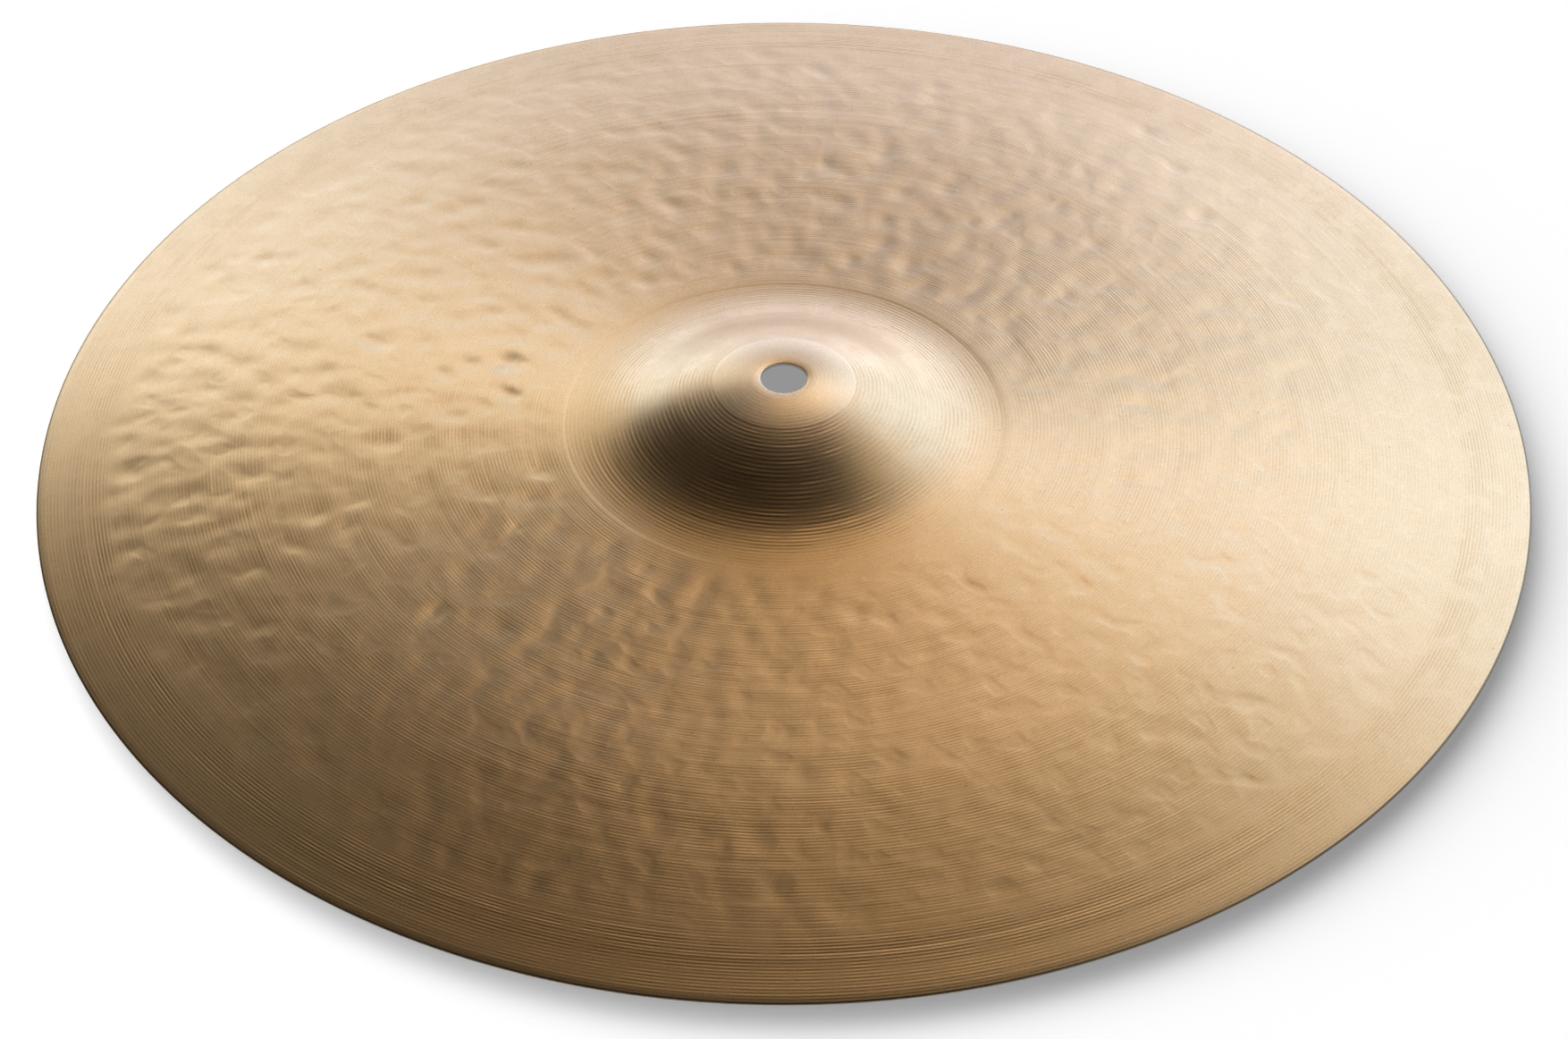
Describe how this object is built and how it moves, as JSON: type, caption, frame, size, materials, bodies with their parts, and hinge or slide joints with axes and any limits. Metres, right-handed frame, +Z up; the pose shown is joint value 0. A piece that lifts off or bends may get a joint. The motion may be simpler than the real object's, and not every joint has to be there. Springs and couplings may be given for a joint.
{
  "type": "crash cymbal",
  "caption": "Thin round crash cymbal: a dished, tapered bronze plate with an S-curved bell, a crease, a shallow bow and a plain centre hole that hangs on a stand's sleeve.",
  "frame": {"origin": "centre of the circle that the rim rests on, straight below the centre hole", "axes": "+Z up along the centre hole, from the rim towards the bell; the plate is round about Z"},
  "size_m": [0.4318, 0.4318, 0.0364],
  "materials": {
    "bronze": "lathe-turned and hammered, with a satin sheen"
  },
  "bodies": {
    "root": {"cymbal": "bronze"}
  },
  "joints": []
}
